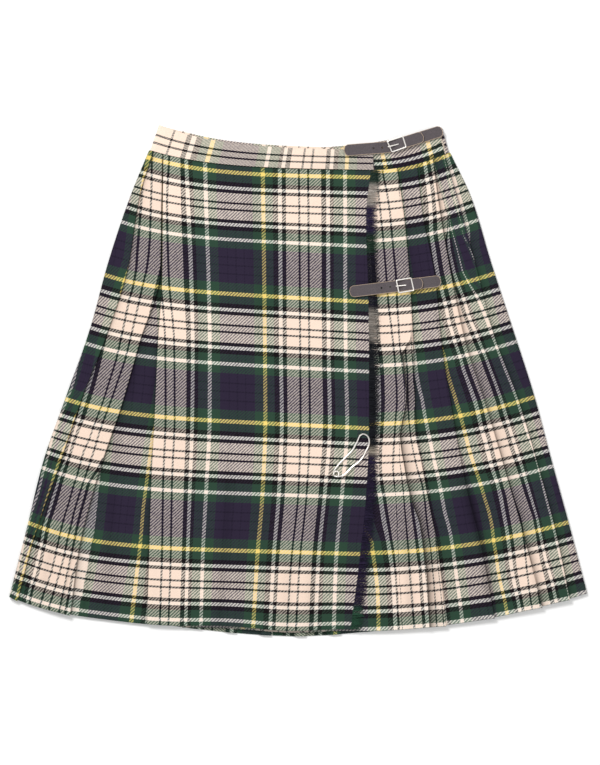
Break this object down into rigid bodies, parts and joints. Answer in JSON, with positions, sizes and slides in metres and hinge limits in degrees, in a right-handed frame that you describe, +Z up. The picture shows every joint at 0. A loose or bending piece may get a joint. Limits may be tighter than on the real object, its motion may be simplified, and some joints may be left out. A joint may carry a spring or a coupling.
{
  "type": "pleated wrap skirt",
  "caption": "Knife-pleated tartan wrap skirt laid flat: fringed over-apron, narrow waistband, leather straps with buckles and a wire kilt pin.",
  "frame": {"origin": "middle of the box, on the surface that the skirt lies on", "axes": "+X across the skirt towards the strap side, +Y from hem to waist, +Z up, away from the surface, out of the front"},
  "size_m": [0.6932, 0.6128, 0.0144],
  "materials": {
    "tartan_cloth": "brushed wool twill in a dress tartan of cream, black, green, navy and a yellow line",
    "fringe_yarn": "frayed ends of the same wool yarn",
    "strap_leather": "dark grey-brown leather, soft sheen",
    "buckle_metal": "polished plated wire",
    "pin_metal": "polished plated wire"
  },
  "bodies": {
    "root": {"back_pleats": "tartan_cloth", "right_pleats": "tartan_cloth", "left_pleats": "tartan_cloth", "over_apron": "tartan_cloth", "waistband": "tartan_cloth", "fringe": "fringe_yarn", "upper_strap": "strap_leather", "upper_tab": "strap_leather", "upper_buckle": "buckle_metal", "upper_prong": "buckle_metal", "lower_strap": "strap_leather", "lower_tab": "strap_leather", "lower_buckle": "buckle_metal", "lower_prong": "buckle_metal", "kilt_pin": "pin_metal"}
  },
  "joints": []
}
